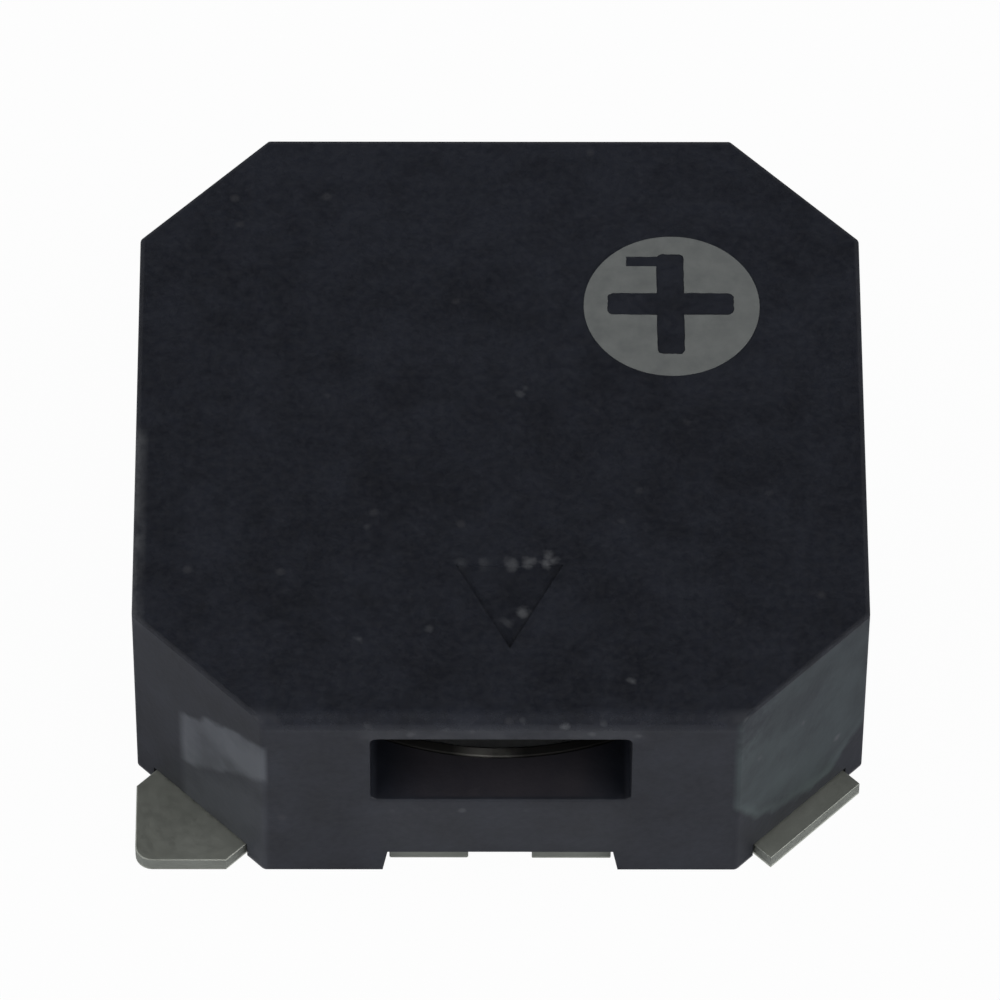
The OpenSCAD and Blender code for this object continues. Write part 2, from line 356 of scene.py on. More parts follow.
def satinCutsWithPaintedReflection(tree, place, s):  # the corner cuts, and on each a satin field whose lighter colour is a painted reflection
    x, y, z = axesOf(tree, place)
    sideways, forth = math1(tree, "ABSOLUTE", x, 0), math1(tree, "ABSOLUTE", y, 0)
    cut = within(tree, math1(tree, "ADD", sideways, forth), *s["cut"])
    cut = times(tree, cut, spread(tree, z, *s["topFade"], 1, 0))
    along = spread(tree, forth, s["start"], s["start"] + s["long"], 0, 1)
    wave = spread(tree, grain(tree, place, *s["wave"]), 0, 1, -s["ragged"], s["ragged"])
    level = math1(tree, "ADD", z, wave)
    leftTop = spread(tree, along, 0, 1, s["leftTop"], s["leftTop"] + s["leftRise"])
    depth = math1(tree, "SUBTRACT", leftTop, level)
    deep = spread(tree, along, 0, 1, s["leftDeep"][0], sum(s["leftDeep"]))
    leftLow = math1(tree, "SUBTRACT", deep, depth)
    left = times(tree, spread(tree, depth, -s["edge"], s["edge"], 0, 1),
                 spread(tree, leftLow, -s["edge"], s["edge"], s["leftUnder"], 1),
                 spread(tree, along, *s["leftFrom"], 0, 1))
    offMiddle = math1(tree, "ABSOLUTE", math1(tree, "SUBTRACT", along, s["rightMiddle"]), 0)
    bow = math1(tree, "POWER", offMiddle, 2)
    rightLow = math1(tree, "ADD", times(tree, bow, s["rightBow"]), s["rightLow"])
    over = math1(tree, "SUBTRACT", level, rightLow)
    rim = times(tree, within(tree, over, *s["rightRim"]), s["rimShare"])
    right = math1(tree, "ADD", spread(tree, over, -s["edge"], s["edge"], 0, s["rightShare"]), rim)
    # painted shade: these spots darken the right field
    dim = dotsAt(tree, place, s["rightPaintedShade"], s["paintedShadeRadius"])
    right = times(tree, right, spread(tree, along, 0, 1, *s["rightEnds"]), math1(tree, "SUBTRACT", 1, dim))
    isRight = spread(tree, x, *s["middle"], 0, 1)
    left = times(tree, left, math1(tree, "SUBTRACT", 1, isRight))
    field = math1(tree, "ADD", left, times(tree, right, isRight))
    mottle = spread(tree, grain(tree, place, *s["stain"]), 0.34, 0.6, s["mottle"], 1)
    reflectionColor = tint(tree, isRight, s["leftReflection"], s["rightReflection"])
    return cut, times(tree, cut, field, mottle), reflectionColor


rimAndHighlightLook = {
    # color: the lighter colour of the painted highlights, the painted light under the slot and the lighter
    # dots
    "color": (0.066, 0.069, 0.076), "rimMatt": 0.4, "frontShine": 0.22,
    "frontY": (-4.05, -4.13), "frontZ": (2.74, 2.8), "frontEnds": (2.45, 2.8),  # polished front rounding
    "sideRim": (4.19, 4.22), "cutRim": (6.93, 6.96), "rimZ": (2.94, 2.96),  # matt rims
    "blotch": (3.5, 3, 0.6), "frontWall": (-9, -4.15, 0.03),  # areas: from, to, softness
    "left": {"x": (-9, -4.14, 0.05), "y": (-2.85, -0.1, 0.12), "z": (2.8, 2.92), "share": 0.8},  # painted highlight along the left top edge
    "slot": {"x": (-1.6, 1.6, 0.1), "z": (2.6, 2.8, 0.06), "share": 0.28},  # painted highlight over the slot
    "below": {"x": (-1.45, 1.45, 0.3), "z": (0.35, 1.35, 0.15), "share": 0.13},  # painted light: paler field under it
    "arrowDots": (  # painted highlights along the arrow's back edge; each dot: x, y, z and strength
        (-0.45, -2.0, 2.98, 0.3), (-0.2, -2.03, 2.98, 0.45), (0.13, -2.01, 2.98, 0.75),
        (0.33, -2.0, 2.98, 0.9), (0.52, -2.02, 2.98, 1.0), (0.61, -1.97, 2.98, 1.0),
        (0.56, -1.92, 2.98, 0.8), (0.25, -2.68, 2.96, 0.95), (0.07, -2.84, 2.96, 0.4),
    ),
    # painted highlights along the front top edge; the last three are lighter dots lower on the front
    "frontDots": (
        (-1.52, -4.22, 2.84, 0.3), (-1.02, -4.25, 2.72, 0.6), (-0.63, -4.24, 2.8, 0.4),
        (-0.33, -4.25, 2.76, 0.5), (0.24, -4.19, 2.91, 0.5), (0.72, -4.22, 2.84, 0.7),
        (1.04, -4.25, 2.72, 0.8), (1.16, -4.21, 2.88, 0.5), (1.57, -4.25, 2.69, 0.7),
        (-0.45, -4.25, 1.2, 0.6), (0.29, -4.25, 1.2, 0.4), (-1.25, -4.25, 1.2, 0.3),
    ),
    # lighter dots on the right corner cut and on the top
    "cutDots": ((2.98, -4.02, 1.93, 0.8), (3.49, -3.51, 1.92, 0.7), (3.92, -3.08, 1.03, 0.8)),
    "topDots": (
        (0.24, 0.45, 2.99, 0.4), (0.3, 0.53, 2.99, 0.3), (-0.83, -2.95, 2.99, 0.4), (-1.63, -3.1, 2.99, 0.6),
        (1.5, -3.7, 2.99, 0.9), (1.4, -1.4, 2.99, 0.25), (-1.55, -1.5, 2.99, 0.25), (3.1, -1.0, 2.99, 0.25),
    ),
    "arrowDot": 0.095, "dotRadius": 0.066,
}


def topRim(tree, place, s):  # change of roughness: polished along the front, matt along the rest
    x, y, z = axesOf(tree, place)
    sideways, forth = math1(tree, "ABSOLUTE", x, 0), math1(tree, "ABSOLUTE", y, 0)
    front = times(tree, spread(tree, y, *s["frontY"], 0, 1), spread(tree, z, *s["frontZ"], 0, 1),
                  spread(tree, sideways, *s["frontEnds"], 1, 0))
    others = math1(tree, "MAXIMUM", spread(tree, math1(tree, "MAXIMUM", sideways, y), *s["sideRim"], 0, 1),
                   spread(tree, math1(tree, "ADD", sideways, forth), *s["cutRim"], 0, 1))
    others = times(tree, others, spread(tree, z, *s["rimZ"], 0, 1))
    return math1(tree, "SUBTRACT", times(tree, others, s["rimMatt"]), times(tree, front, s["frontShine"]))


# painted highlights on the edges, over the slot and along the arrow, painted light under the slot, and lighter
# dots
def paintedHighlightsAndDots(tree, place, s):
    x, y, z = axesOf(tree, place)
    edge, smear, field = s["left"], s["slot"], s["below"]
    blotch = spread(tree, grain(tree, place, *s["blotch"]), 0.36, 0.62, 0.15, 1)
    high = spread(tree, z, *edge["z"], 0, edge["share"])
    left = times(tree, high, within(tree, x, *edge["x"]), within(tree, y, *edge["y"]), blotch)
    isFront = within(tree, y, *s["frontWall"])
    # painted highlight in the band over the slot
    over = times(tree, within(tree, z, *smear["z"]), isFront, within(tree, x, *smear["x"]),
                 blotch, smear["share"])
    # painted light: the front is paler under the slot
    below = times(tree, within(tree, z, *field["z"]), isFront, within(tree, x, *field["x"]), field["share"])
    # painted highlights along the arrow's back edge, then the other painted light and dots
    worn = dotsAt(tree, place, s["arrowDots"], s["arrowDot"])
    small = dotsAt(tree, place, (*s["frontDots"], *s["cutDots"], *s["topDots"]), s["dotRadius"])
    for area in (left, over, below, small):
        worn = math1(tree, "MAXIMUM", worn, area)
    return worn


slotLook = {
    # dust: the sill's lighter colour, partly dust and partly painted light
    "dust": (0.028, 0.0255, 0.031), "grain": (2.4, 4, 0.6),
    "x": (-1.12, 1.12, 0.22), "y": (-4.2, -3.3, 0.02), "z": (1.3, 1.6, 0.02),
}


def slotDustAndLight(tree, place, s):  # dust and painted light on the middle of the sill: lighter in the middle, darker towards the ends
    x, y, z = axesOf(tree, place)
    area = times(tree, within(tree, x, *s["x"]), within(tree, y, *s["y"]), within(tree, z, *s["z"]))
    return times(tree, area, spread(tree, grain(tree, place, *s["grain"]), 0.3, 0.65, 0.55, 1))


def caseFinish(name, values):
    finish, tree, shader, place, color, rough, fine = mouldedPlastic(name, values)
    cut, satin, reflectionColor = satinCutsWithPaintedReflection(tree, place, cutLook)
    # painted reflection: the corner cuts take the lighter colour of a mirrored floor
    color = tint(tree, satin, color, reflectionColor)
    # painted highlights, painted light under the slot and lighter dots, in one lighter colour
    color = tint(tree, paintedHighlightsAndDots(tree, place, rimAndHighlightLook), color, rimAndHighlightLook["color"])
    # dust and painted light on the sill
    color = tint(tree, slotDustAndLight(tree, place, slotLook), color, slotLook["dust"])
    tree.links.new(color, shader.inputs["Base Color"])
    onCuts = times(tree, cut, cutLook["matt"])
    matt = math1(tree, "ADD", times(tree, rough, math1(tree, "SUBTRACT", 1, cut)), onCuts)
    drop = times(tree, satin, cutLook["matt"] - cutLook["satin"])
    height = times(tree, fine, math1(tree, "SUBTRACT", 1, satin))  # the satin is smooth
    relief(tree, shader, height, values["relief"])
    worn = topRim(tree, place, rimAndHighlightLook)
    tree.links.new(math1(tree, "ADD", math1(tree, "SUBTRACT", matt, drop), worn), shader.inputs["Roughness"])
    return finish


tin = {
    "bright": (0.36, 0.373, 0.338), "dull": (0.3, 0.312, 0.28), "rough": (0.54, 0.66), "relief": 0.0000012,
    "stain": (1.4, 4, 0.6), "scratch": (9, 3, 0.6),
}


def tinPlate(name, values):
    finish, tree, shader, place = startFinish(name, values["bright"], 0.45, metal=1.0)
    stains = spread(tree, grain(tree, place, *values["stain"]), 0.36, 0.68, 0, 1)
    tree.links.new(tint(tree, stains, values["bright"], values["dull"]), shader.inputs["Base Color"])
    scratches = grain(tree, place, *values["scratch"])
    tree.links.new(spread(tree, scratches, 0.3, 0.7, *values["rough"]), shader.inputs["Roughness"])
    relief(tree, shader, scratches, values["relief"])
    return finish


metals = {  # bright and dull colour, roughness, scale of the marks
    "yokeSteel": ((0.56, 0.56, 0.57), (0.42, 0.42, 0.43), 0.36, 2.5),
    "coreIron": ((0.58, 0.58, 0.58), (0.44, 0.44, 0.44), 0.34, 4),
    "diaphragmSteel": ((0.36, 0.365, 0.37), (0.27, 0.275, 0.28), 0.5, 5),
    "armatureSteel": ((0.56, 0.56, 0.57), (0.42, 0.42, 0.44), 0.35, 2.5),
    "solderTin": ((0.68, 0.69, 0.7), (0.5, 0.51, 0.52), 0.24, 3),
}


def plainMetal(name, bright, dull, rough, scale):
    finish, tree, shader, place = startFinish(name, bright, rough, metal=1.0)
    marks = grain(tree, place, scale, 4, 0.6)
    color = tint(tree, spread(tree, marks, 0.35, 0.7, 0, 1), bright, dull)
    tree.links.new(color, shader.inputs["Base Color"])
    tree.links.new(spread(tree, marks, 0.3, 0.7, rough - 0.07, rough + 0.1), shader.inputs["Roughness"])
    relief(tree, shader, marks, 0.000002)
    return finish


ringLook = {
    "dull": (0.042, 0.041, 0.039), "dark": (0.025, 0.0245, 0.024), "paintedHighlight": (0.24, 0.235, 0.22),
    "rough": 0.78, "stain": (1.6, 4, 0.6),
    "patchX": (-0.4, 0.12, 0.16), "patchY": (-9, -3, 0.2), "patchGrain": (4, 3),  # from, to, softness
}


def ringWithPaintedHighlight(name, s):  # dull all round, with a painted highlight at one place behind the slot
    finish, tree, shader, place = startFinish(name, s["dull"], s["rough"], metal=1.0)
    x, y, z = axesOf(tree, place)
    stains = spread(tree, grain(tree, place, *s["stain"]), 0.35, 0.65, 0, 1)
    color = tint(tree, stains, s["dull"], s["dark"])
    # painted highlight: a bright patch behind the slot
    patch = times(tree, within(tree, x, *s["patchX"]), within(tree, y, *s["patchY"]),
                  spread(tree, grain(tree, place, *s["patchGrain"]), 0.3, 0.6, 0.4, 1))
    tree.links.new(tint(tree, patch, color, s["paintedHighlight"]), shader.inputs["Base Color"])
    return finish


inkLook = {
    "plain": (0.115, 0.122, 0.117), "fresh": (0.15, 0.159, 0.156), "worn": (0.118, 0.126, 0.125),
    "rough": 0.6, "wear": (4, 4, 0.6), "relief": 0.000002,
}


def markPrint(name, s):
    finish, tree, shader, place = startFinish(name, s["plain"], s["rough"])
    worn = spread(tree, grain(tree, place, *s["wear"]), 0.34, 0.68, 0, 1)
    tree.links.new(tint(tree, worn, s["fresh"], s["worn"]), shader.inputs["Base Color"])
    relief(tree, shader, grain(tree, place, 12, 2), s["relief"])
    return finish


magnetLook = {
    "plain": (0.05, 0.05, 0.054), "dark": (0.035, 0.035, 0.038), "light": (0.08, 0.08, 0.085),
    "rough": 0.62, "grit": (6, 4, 0.65), "relief": 0.000004,
}


def sintered(name, s):
    finish, tree, shader, place = startFinish(name, s["plain"], s["rough"])
    grit = grain(tree, place, *s["grit"])
    tree.links.new(tint(tree, grit, s["dark"], s["light"]), shader.inputs["Base Color"])
    relief(tree, shader, grit, s["relief"])
    return finish


wireLook = {
    "plain": (0.55, 0.2, 0.07), "dark": (0.42, 0.13, 0.04), "light": (0.68, 0.28, 0.11),
    "rough": (0.24, 0.4), "shade": (1.8, 3), "enamel": 0.6, "enamelRough": 0.2,
}


def enamelWire(name, s):
    finish, tree, shader, place = startFinish(name, s["plain"], 0.3, metal=1.0)
    shade = grain(tree, place, *s["shade"])
    tree.links.new(tint(tree, shade, s["dark"], s["light"]), shader.inputs["Base Color"])
    tree.links.new(spread(tree, shade, 0.3, 0.7, *s["rough"]), shader.inputs["Roughness"])
    shader.inputs["Coat Weight"].default_value = s["enamel"]
    shader.inputs["Coat Roughness"].default_value = s["enamelRough"]
    return finish


casePlastic = caseFinish("casePlastic", plastic)
baseShades = {"dark": (0.012, 0.0125, 0.015), "light": (0.018, 0.0185, 0.021)}
basePlastic = mouldedPlastic("basePlastic", {**plastic, **baseShades})[0]
tinnedLead = tinPlate("tinnedLead", tin)
markInk = markPrint("markInk", inkLook)
yokeSteel = plainMetal("yokeSteel", *metals["yokeSteel"])
coreIron = plainMetal("coreIron", *metals["coreIron"])
ringBrass = ringWithPaintedHighlight("ringBrass", ringLook)
diaphragmSteel = plainMetal("diaphragmSteel", *metals["diaphragmSteel"])
armatureSteel = plainMetal("armatureSteel", *metals["armatureSteel"])
solderTin = plainMetal("solderTin", *metals["solderTin"])
magnetFerrite = sintered("magnetFerrite", magnetLook)
coilCopper = enamelWire("coilCopper", wireLook)
print("finishes made:", len(bpy.data.materials))


# case: an octagonal cap, hollowed from below and opened at the slot, the notches and the corners

caseSize = {
    "width": 8.5, "cut": 1.5, "low": 0.012, "high": 2.99,
    "frontRound": 0.2, "edgeRound": 0.03,
    "pocketWidth": 7.8, "pocketCut": 1.295, "pocketHigh": 0.45,
    "chamberRadius": 3.66, "ceiling": 2.65, "ceilingRound": 0.12,
    "spare": 0.5, "overlap": 0.2, "smooth": 32,  # spare: cut off again below
}
slotSize = {
    "width": 3.0, "low": 1.415, "high": 2.595, "back": -3.0, "past": 0.3, "round": 0.08,
    "lip": 0.035, "lipSteps": ((0.6, 0.2), (0.4, 0.8)),  # how far out and how much wider, as shares of the lip
}
notchSize = {"half": 1.31, "flare": 0.06, "high": 0.37, "inner": 3.6, "outer": 4.6, "past": 0.4}
windowSize = {"width": 1.56, "inner": 4.38, "outer": 5.2, "low": -0.2, "high": 0.23}
arrowSize = {"half": 0.635, "baseY": -2.025, "tipY": -3.24, "middleX": 0.1, "depth": 0.035, "draft": 0.97}


def makeCase(s):
    case = octagon("case_shell", s["width"], s["cut"], s["low"] - s["spare"], s["high"])
    front = -s["width"] / 2
    openMesh(case)
    pickEdges(case, lambda a, b: min(a.z, b.z) > s["high"] - 0.001 and max(a.y, b.y) < front + 0.001)
    bpy.ops.mesh.bevel(offset=s["frontRound"], segments=8, affect="EDGES")
    letGo()
    softenEdges(case, s["edgeRound"], segments=4, angle=30)
    openMesh(case)
    bpy.ops.mesh.select_all(action="SELECT")
    bpy.ops.mesh.bisect(plane_co=(0, 0, s["low"]), plane_no=(0, 0, 1), clear_inner=True,
                        use_fill=True)  # the lower edge stays sharp
    letGo()
    chamber = rod("chamber", s["chamberRadius"], s["pocketHigh"] - s["overlap"], s["ceiling"])
    openMesh(chamber)
    pickEdges(chamber, lambda a, b: min(a.z, b.z) > s["ceiling"] - 0.001)
    bpy.ops.mesh.bevel(offset=s["ceilingRound"], segments=3, affect="EDGES")
    letGo()
    low = s["low"] - s["overlap"]
    combine(case, octagon("pocket", s["pocketWidth"], s["pocketCut"], low, s["pocketHigh"]))
    combine(case, chamber)
    return case


def slotTool(s, front):
    half = s["width"] / 2
    tool = block("slot", (-half, front + s["lip"], s["low"]), (half, s["back"], s["high"]))
    openMesh(tool)
    pickEdges(tool, lambda a, b: abs(a.y - b.y) > 0.5)
    bpy.ops.mesh.bevel(offset=s["round"], segments=3, affect="EDGES")
    middle = (0, 0, (s["low"] + s["high"]) / 2)
    tall = s["high"] - s["low"]
    for out, widen in s["lipSteps"]:
        pickFaces(tool, lambda c, n: n.y < -0.9)
        bpy.ops.mesh.extrude_region_move(TRANSFORM_OT_translate={"value": (0, -out * s["lip"], 0)})
        grow = 2 * widen * s["lip"]
        bpy.ops.transform.resize(value=(1 + grow / s["width"], 1, 1 + grow / tall), center_override=middle)
    pickFaces(tool, lambda c, n: n.y < -0.9)
    bpy.ops.mesh.extrude_region_move(TRANSFORM_OT_translate={"value": (0, -s["past"], 0)})
    letGo()
    return tool


def notchTool(s, side):
    near, far = sorted((side * s["inner"], side * s["outer"]))
    tool = block("notch", (-s["half"], near, -s["past"]), (s["half"], far, s["high"]))
    openMesh(tool)
    pickFaces(tool, lambda c, n: n.z < -0.9)
    grow = s["flare"] * (s["high"] + s["past"]) / s["high"]
    bpy.ops.transform.resize(value=(1 + grow / s["half"], 1, 1), center_override=(0, 0, 0))
    letGo()
    return tool


def arrowTool(s, top):
    letGo()
    bpy.ops.mesh.primitive_cylinder_add(vertices=3, radius=1, depth=2 * s["depth"], location=(0, 0, 0))
    tool = bpy.context.object
    tool.name = "arrow"
    reach = s["baseY"] - s["tipY"]
    tool.scale = (s["half"] / math.cos(math.radians(30)), -reach / 1.5, 1)
    centre = (s["middleX"], s["baseY"] - reach / 3, top)
    tool.location = centre
    bpy.ops.object.transform_apply(location=True, rotation=True, scale=True)
    openMesh(tool)
    pickFaces(tool, lambda c, n: c.z < top - 0.9 * s["depth"])
    bpy.ops.transform.resize(value=(s["draft"], s["draft"], 1), center_override=centre)
    bpy.ops.mesh.select_all(action="SELECT")
    bpy.ops.mesh.normals_make_consistent(inside=False)
    letGo()
    return tool


case = makeCase(caseSize)
combine(case, slotTool(slotSize, -caseSize["width"] / 2))
for side in (-1, 1):
    combine(case, notchTool(notchSize, side))
for quarter in range(4):
    turn = math.radians(45 + 90 * quarter)
    half = windowSize["width"] / 2
    corner = (windowSize["outer"], half, windowSize["high"])
    combine(case, block("window", (windowSize["inner"], -half, windowSize["low"]), corner, turn))
combine(case, arrowTool(arrowSize, caseSize["high"]))
tidyFaces(case)
smooth(case, caseSize["smooth"])
settle(case, casePlastic, ["case"])
print("case:", len(case.data.polygons), "faces")


# polarity mark: a printed disc with a plus left bare in it

markSize = {
    "middle": (2.022, 1.752), "radius": 1.036, "low": 2.98, "high": 2.996, "ragged": 0.012, "cuts": 4,
    "armLong": 1.49, "armWide": 0.325, "armRound": 0.07, "plusShift": (-0.012, 0.03),
    "flawLow": (1.49, 2.345), "flawHigh": (1.95, 2.49),  # where the print missed
    "past": 0.1, "smooth": 30,
}


def roughen(piece, size, seed):  # the print's uneven edge
    openMesh(piece)
    bpy.ops.mesh.select_all(action="SELECT")
    bpy.ops.transform.vertex_random(offset=size, uniform=0.0, normal=0.0, seed=seed)
    letGo()


def makeMark(s):
    mark = rod("polarity_mark", s["radius"], s["low"], s["high"], s["middle"])
    x, y = (m + d for m, d in zip(s["middle"], s["plusShift"]))
    long, wide = s["armLong"] / 2, s["armWide"] / 2
    low, high = s["low"] - s["past"], s["high"] + s["past"]
    plus = block("plus", (x - wide, y - wide, low), (x + wide, y + wide, high))
    openMesh(plus)
    for way in ((1, 0), (-1, 0), (0, 1), (0, -1)):  # the arms grow out of the middle
        pickFaces(plus, lambda c, n: n.x * way[0] + n.y * way[1] > 0.9 and abs(c.x - x) < wide + 0.01
                  and abs(c.y - y) < wide + 0.01)
        arm = (way[0] * (long - wide), way[1] * (long - wide), 0)
        bpy.ops.mesh.extrude_region_move(TRANSFORM_OT_translate={"value": arm})
    bpy.ops.mesh.select_all(action="SELECT")
    bpy.ops.mesh.dissolve_limited(angle_limit=math.radians(0.5))
    pickEdges(plus, lambda a, b: abs(a.z - b.z) > 0.01
              and abs(abs((a.x - x) * (a.y - y)) - long * wide) < 0.001)
    bpy.ops.mesh.bevel(offset=s["armRound"], segments=4, affect="EDGES")  # round ends
    letGo()
    flaw = block("flaw", (*s["flawLow"], low), (*s["flawHigh"], high))
    for seed, tool in enumerate((plus, flaw)):
        openMesh(tool)
        pickEdges(tool, lambda a, b: abs(a.z - b.z) < 0.01 and (a - b).length > 0.09)
        bpy.ops.mesh.subdivide(number_cuts=s["cuts"])  # points for the uneven edge
        roughen(tool, s["ragged"], seed)
        combine(mark, tool)
    smooth(mark, s["smooth"])
    return mark


mark = makeMark(markSize)
settle(mark, markInk)
print("mark:", len(mark.data.polygons), "faces")


# leads: stamped from sheet, one live and one dummy shape, each used at two corners

leadSize = {
    "thick": 0.2, "footWide": 1.5, "footIn": 4.28, "dummyOut": 5.21,
    "liveOut": 6.4, "square": 4.25, "cornerRound": 0.2,  # a live foot is trimmed to the square outline
    "liveIn": 1.895, "dummyIn": 3.28, "armWide": 1.1,
    "barLow": 2.73, "barHigh": 3.28, "barEnd": 3.005, "stubLow": 0.37, "stubHigh": 1.29, "stubEnd": 4.08,
    "overlap": 0.2, "edge": 0.018, "smooth": 40,
}
liveCorners = (45, 225)  # degrees


def makeLead(s, live, name):
    top, half, arm, turn = s["thick"], s["footWide"] / 2, s["armWide"] / 2, math.radians(45)
    out = s["liveOut"] if live else s["dummyOut"]
    lead = block(name, (s["footIn"], -half, 0), (out, half, top), turn)
    if live:
        side = s["square"]
        square = block("square", (-side, -side, -0.5), (side, side, 0.5))
        openMesh(square)
        pickEdges(square, lambda a, b: abs(a.z - b.z) > 0.5)
        bpy.ops.mesh.bevel(offset=s["cornerRound"], segments=6, affect="EDGES")
        letGo()
        combine(lead, square, "INTERSECT")
    inner = s["liveIn"] if live else s["dummyIn"]
    combine(lead, block("arm", (inner, -arm, 0), (s["footIn"] + s["overlap"], arm, top), turn), "UNION")
    combine(lead, block("bar", (s["stubLow"], s["barLow"], 0), (s["barEnd"], s["barHigh"], top)), "UNION")
    combine(lead, block("stub", (s["stubLow"], s["barLow"], 0), (s["stubHigh"], s["stubEnd"], top)), "UNION")
    tidyFaces(lead)
    return lead


def placeLead(shape, name, mirrorX, mirrorY):
    lead = twin(shape, name)
    lead.scale = (mirrorX, mirrorY, 1)
    bpy.ops.object.transform_apply(location=True, rotation=True, scale=True)
    openMesh(lead)
    bpy.ops.mesh.select_all(action="SELECT")
    bpy.ops.mesh.normals_make_consistent(inside=False)
    letGo()
    return lead


liveShape = makeLead(leadSize, True, "live_shape")
dummyShape = makeLead(leadSize, False, "dummy_shape")
corners = (
    ("lead_plus", liveShape, 1, 1, "terminal_plus"),
    ("lead_minus", liveShape, -1, -1, "terminal_minus"),
    ("lead_dummy_front", dummyShape, 1, -1, "dummy_terminal_front"),
    ("lead_dummy_back", dummyShape, -1, 1, "dummy_terminal_back"),
)
leadTools = []
for name, shape, mirrorX, mirrorY, node in corners:
    lead = placeLead(shape, name, mirrorX, mirrorY)
    leadTools.append(twin(lead, name + "_groove"))  # sharp copy that cuts the base
    softenEdges(lead, leadSize["edge"], segments=3)
    smooth(lead, leadSize["smooth"])
    settle(lead, tinnedLead, [node])
for shape in (liveShape, dummyShape):
    bpy.data.objects.remove(shape)
print("leads:", len(corners))


# base: moulded round the leads, with a window over each live arm and ejector marks below

baseSize = {
    "width": 7.76, "cut": 1.283, "low": 0.02, "high": 0.45,
    "windowIn": 1.995, "windowLong": 1.0, "windowWide": 0.8, "windowLow": 0.2, "windowHigh": 0.7,
    "ejectors": ((-2.5, 0), (2.5, 0), (0, 0)), "ejectorRadius": 0.42, "ejectorDeep": 0.006,
    "past": 0.2, "smooth": 32,
}


def makeBase(s, grooves):
    base = octagon("base_plate", s["width"], s["cut"], s["low"], s["high"])
    for groove in grooves:
        combine(base, groove)
    half = s["windowWide"] / 2
    outer = (s["windowIn"] + s["windowLong"], half, s["windowHigh"])
    for corner in liveCorners:
        combine(base, block("window", (s["windowIn"], -half, s["windowLow"]), outer, math.radians(corner)))
    for spot in s["ejectors"]:
        high = s["low"] + s["ejectorDeep"]
        combine(base, rod("ejector", s["ejectorRadius"], -s["past"], high, spot, sides=48))
    tidyFaces(base)
    smooth(base, s["smooth"])
    return base


base = makeBase(baseSize, leadTools)
settle(base, basePlastic, ["base"])
print("base:", len(base.data.polygons), "faces")


# coil: turns of wire showing as ridges, and its two ends down to the solder

coilSize = {
    "bore": 0.68, "outer": 1.645, "low": 0.70, "high": 1.18, "turns": 8, "rows": 16,
    "crest": (0.3, 0.7), "dip": 0.3, "smooth": 60,  # shape of a ridge, as shares of its pitch
    "wire": 0.04, "bend": 0.09, "dropRadius": 2.095, "endRadius": 2.52, "overZ": 0.78, "underZ": 0.28,
}


def makeCoil(s):
    pitch = (s["high"] - s["low"]) / s["turns"]
    step = (s["outer"] - s["bore"]) / s["rows"]
    dip = s["dip"] * pitch
    first, last = s["crest"]
    path = [(s["bore"], s["low"]), (s["outer"] - dip, s["low"])]
    for turn in range(s["turns"]):  # up the outside
        path += [(s["outer"], s["low"] + (turn + first) * pitch),
                 (s["outer"], s["low"] + (turn + last) * pitch),
                 (s["outer"] - dip, s["low"] + (turn + 1) * pitch)]
    path[-1] = (s["outer"] - dip, s["high"] - dip)
    for row in range(s["rows"]):  # across the top
        path += [(s["outer"] - (row + first) * step, s["high"]),
                 (s["outer"] - (row + last) * step, s["high"]),
                 (s["outer"] - (row + 1) * step, s["high"] - dip)]
    coil = lathe("coil_winding", path)
    smooth(coil, s["smooth"])
    return coil


def makeWireEnd(s, corner):
    drop, bend = s["dropRadius"], s["bend"]
    route = ((s["outer"] - 2 * s["wire"], s["overZ"]), (drop - bend, s["overZ"]), (drop, s["overZ"] - bend),
             (drop, s["underZ"] + bend), (drop + bend, s["underZ"]), (s["endRadius"], s["underZ"]))
    line = bpy.data.curves.new("wire_end", "CURVE")
    line.dimensions = "3D"
    line.bevel_depth = s["wire"]
    line.bevel_resolution = 4
    line.use_fill_caps = True
    spline = line.splines.new("NURBS")
    spline.points.add(len(route) - 1)
    for point, (radius, level) in zip(spline.points, route):
        point.co = (radius * math.cos(corner), radius * math.sin(corner), level, 1)
    spline.use_endpoint_u = True
    spline.order_u = 3
    wire = bpy.data.objects.new("wire_end", line)
    scene.collection.objects.link(wire)
    take(wire)
    bpy.ops.object.convert(target="MESH")
    bpy.ops.object.shade_smooth()
    return bpy.context.object


coil = makeCoil(coilSize)
ends = [makeWireEnd(coilSize, math.radians(corner)) for corner in liveCorners]
take(coil)
for end in ends:
    end.select_set(True)
bpy.ops.object.join()
settle(coil, coilCopper, ["coil"])
print("coil:", len(coil.data.polygons), "faces")


# ring under the diaphragm: turned, its lip rounded on both edges

ringSize = {
    "bore": 3.32, "outer": 3.64, "seat": 3.52, "low": 0.45, "seatZ": 1.36, "lipZ": 1.43,
    "edge": 0.016, "edgeSteps": 3, "sides": 128, "smooth": 50,
}


def makeRing(s):
    path = [(s["bore"], s["low"]), (s["outer"], s["low"])]
    for middle, start in ((s["outer"] - s["edge"], 0), (s["seat"] + s["edge"], 90)):  # over the lip
        for step in range(s["edgeSteps"] + 1):
            angle = math.radians(start + 90 * step / s["edgeSteps"])
            path.append((middle + s["edge"] * math.cos(angle),
                         s["lipZ"] - s["edge"] + s["edge"] * math.sin(angle)))
    path += [(s["seat"], s["seatZ"]), (s["bore"], s["seatZ"])]
    ring = lathe("diaphragm_ring", path, s["sides"])
    smooth(ring, s["smooth"])
    return ring


settle(makeRing(ringSize), ringBrass, ["support_ring"])
print("ring made")


# the other inside pieces keep their solids

inside = {
    "yoke_plate": yokeSteel, "pole_core": coreIron, "ring_magnet": magnetFerrite, "diaphragm": diaphragmSteel,
    "armature_disc": armatureSteel, "solder_plus": solderTin, "solder_minus": solderTin,
}
for node, finish in inside.items():
    cad[node].data.materials.clear()
    cad[node].data.materials.append(finish)
print("inside pieces dressed:", len(inside))


# floor, light and camera

stageLook = {
    "size": 4.0, "shade": (0.58, 0.59, 0.625), "white": 0.97,
    "drop": 0.000004, "thin": 0.00006,  # thin: how close under the part the floor is clear
}


